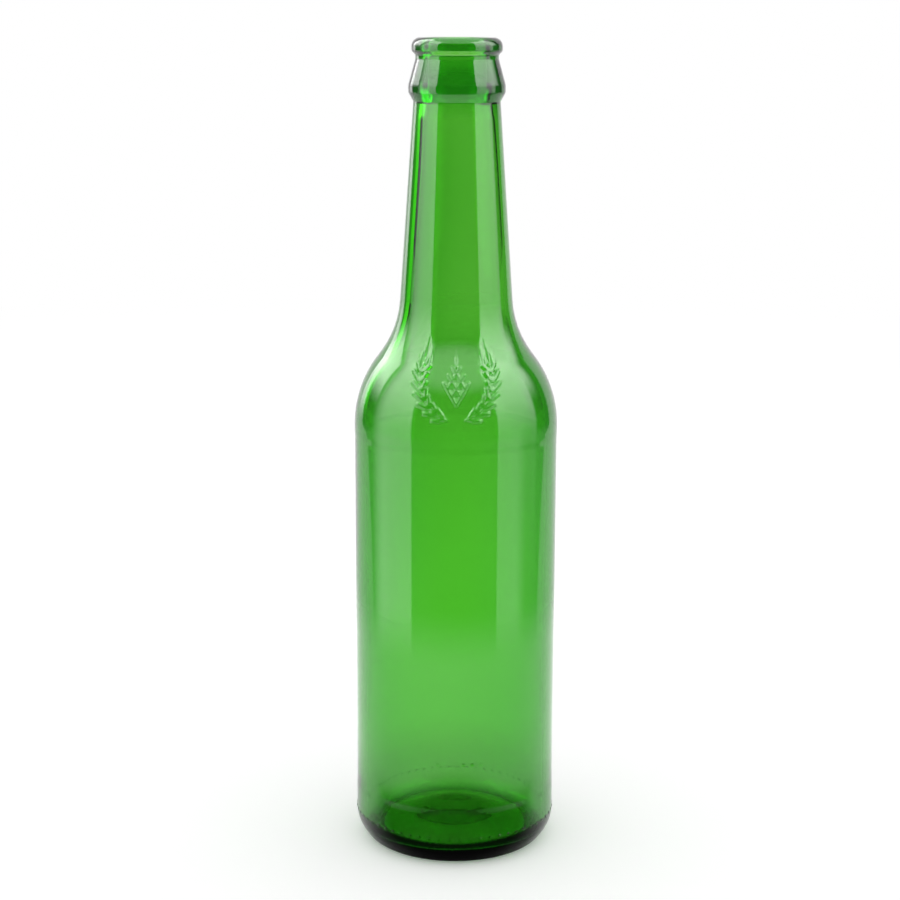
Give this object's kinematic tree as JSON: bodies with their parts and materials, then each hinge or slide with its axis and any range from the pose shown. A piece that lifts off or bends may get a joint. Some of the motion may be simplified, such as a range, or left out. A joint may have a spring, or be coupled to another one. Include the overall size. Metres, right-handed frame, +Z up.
{
  "type": "long-neck glass beer bottle",
  "caption": "Empty, open long-neck beer bottle of green glass, with a crown finish, a recessed label panel, a pushed-up bottom and a raised ornament on the shoulder.",
  "frame": {"origin": "middle of the foot, on the plane that the bottle stands on", "axes": "+Z up along the bottle's axis to the mouth, -Y towards the front, where the shoulder ornament and the short row of dots are"},
  "size_m": [0.0616, 0.0616, 0.245],
  "materials": {
    "green_glass": "clear green glass, polished by the mould's heat, bare and glossy"
  },
  "bodies": {
    "root": {"bottle": "green_glass"}
  },
  "joints": []
}
